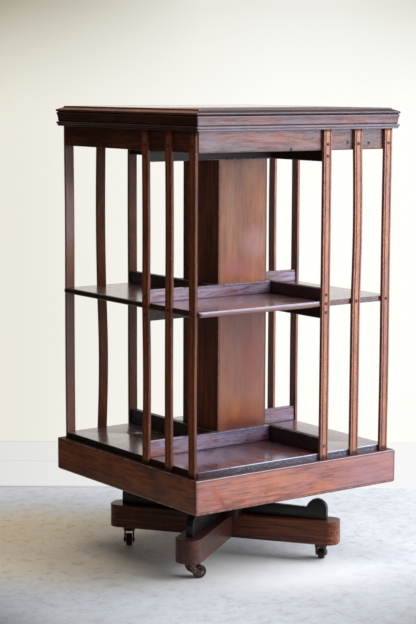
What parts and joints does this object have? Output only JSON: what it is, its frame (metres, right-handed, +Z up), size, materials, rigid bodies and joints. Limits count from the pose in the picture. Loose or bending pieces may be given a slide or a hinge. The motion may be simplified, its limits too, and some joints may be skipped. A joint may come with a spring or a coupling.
{
  "type": "revolving bookcase",
  "caption": "Two-tier square revolving bookcase: slatted case turning on a spindle over a castored cross base, open bays round a hollow column.",
  "frame": {"origin": "on the floor, under the spindle, at the centre of the case's plan", "axes": "+Z up along the spindle; the four sides of the case face -Y (front), +X (right), +Y (back) and -X (left); the cross stands at -54 degrees from +X because the case is turned on it"},
  "size_m": [0.4724, 0.4724, 0.872],
  "materials": {
    "slat_wood": "french-polished mahogany",
    "skirt_wood": "french-polished mahogany",
    "shelf_wood": "french-polished mahogany",
    "rail_wood": "dark stained mahogany",
    "frieze_wood": "french-polished mahogany",
    "beam_wood": "french-polished mahogany",
    "brace_wood": "ebonised",
    "bottom_wood": "french-polished mahogany",
    "column_wood": "french-polished mahogany",
    "top_wood": "french-polished mahogany",
    "cornice_wood": "french-polished mahogany",
    "inner_wood": "unpolished softwood",
    "hub_wood": "stained hardwood",
    "castor_metal": "bronzed and dulled by age",
    "castor_wheel_metal": "bronzed and dulled by age",
    "axle_steel": "plain steel",
    "spindle_steel": "plain steel, oiled",
    "cup_iron": "black iron",
    "collar_brass": "plain brass",
    "screw_steel": "plain steel",
    "nail_metal": "dulled brass"
  },
  "bodies": {
    "base": {"base_screws": "screw_steel", "brace_back": "brace_wood", "brace_front": "brace_wood", "brace_left": "brace_wood", "brace_right": "brace_wood", "castor_plates": "castor_metal", "cross_beam_front": "beam_wood", "cross_beam_side": "beam_wood", "hub_block": "hub_wood", "spindle": "spindle_steel"},
    "case": {"bearing_screws": "screw_steel", "bottom_board": "bottom_wood", "bottom_collar": "collar_brass", "column": "column_wood", "corner_blocks": "inner_wood", "cornice": "cornice_wood", "frieze_back": "frieze_wood", "frieze_front": "frieze_wood", "frieze_left": "frieze_wood", "frieze_right": "frieze_wood", "pivot_cup": "cup_iron", "rails_above_shelf": "rail_wood", "rails_below_shelf": "rail_wood", "rails_bottom": "rail_wood", "rails_top": "rail_wood", "shelf_back": "shelf_wood", "shelf_front": "shelf_wood", "shelf_left": "shelf_wood", "shelf_right": "shelf_wood", "skirt_back": "skirt_wood", "skirt_front": "skirt_wood", "skirt_left": "skirt_wood", "skirt_right": "skirt_wood", "slat_back_1": "slat_wood", "slat_back_2": "slat_wood", "slat_back_3": "slat_wood", "slat_front_1": "slat_wood", "slat_front_2": "slat_wood", "slat_front_3": "slat_wood", "slat_left_1": "slat_wood", "slat_left_2": "slat_wood", "slat_left_3": "slat_wood", "slat_nails": "nail_metal", "slat_right_1": "slat_wood", "slat_right_2": "slat_wood", "slat_right_3": "slat_wood", "soffit_board": "inner_wood", "top_board": "top_wood"},
    "castor_front": {"castor_horn_front": "castor_metal", "castor_axle_front": "axle_steel"},
    "wheel_front": {"castor_wheel_front": "castor_wheel_metal"},
    "castor_right": {"castor_horn_right": "castor_metal", "castor_axle_right": "axle_steel"},
    "wheel_right": {"castor_wheel_right": "castor_wheel_metal"},
    "castor_back": {"castor_horn_back": "castor_metal", "castor_axle_back": "axle_steel"},
    "wheel_back": {"castor_wheel_back": "castor_wheel_metal"},
    "castor_left": {"castor_horn_left": "castor_metal", "castor_axle_left": "axle_steel"},
    "wheel_left": {"castor_wheel_left": "castor_wheel_metal"}
  },
  "joints": [
    {"name": "case_turn", "type": "hinge", "parent": "base", "child": "case", "pos_m": [0, 0, 0.5], "axis": [0, 0, 1], "continuous": true},
    {"name": "castor_swivel_front", "type": "hinge", "parent": "base", "child": "castor_front", "pos_m": [-0.16019, -0.11638, 0.03], "axis": [0, 0, 1], "continuous": true},
    {"name": "castor_roll_front", "type": "hinge", "parent": "castor_front", "child": "wheel_front", "pos_m": [-0.14325, -0.11786, 0.0125], "axis": [0.0872, 0.9962, 0], "continuous": true},
    {"name": "castor_swivel_right", "type": "hinge", "parent": "base", "child": "castor_right", "pos_m": [0.11638, -0.16019, 0.03], "axis": [0, 0, 1], "continuous": true},
    {"name": "castor_roll_right", "type": "hinge", "parent": "castor_right", "child": "wheel_right", "pos_m": [0.12861, -0.14838, 0.0125], "axis": [-0.6947, 0.7193, 0], "continuous": true},
    {"name": "castor_swivel_back", "type": "hinge", "parent": "base", "child": "castor_back", "pos_m": [0.16019, 0.11638, 0.03], "axis": [0, 0, 1], "continuous": true},
    {"name": "castor_roll_back", "type": "hinge", "parent": "castor_back", "child": "wheel_back", "pos_m": [0.14546, 0.12488, 0.0125], "axis": [-0.5, -0.866, 0], "continuous": true},
    {"name": "castor_swivel_left", "type": "hinge", "parent": "base", "child": "castor_left", "pos_m": [-0.11638, 0.16019, 0.03], "axis": [0, 0, 1], "continuous": true},
    {"name": "castor_roll_left", "type": "hinge", "parent": "castor_left", "child": "wheel_left", "pos_m": [-0.12589, 0.14609, 0.0125], "axis": [0.829, -0.5592, 0], "continuous": true}
  ]
}
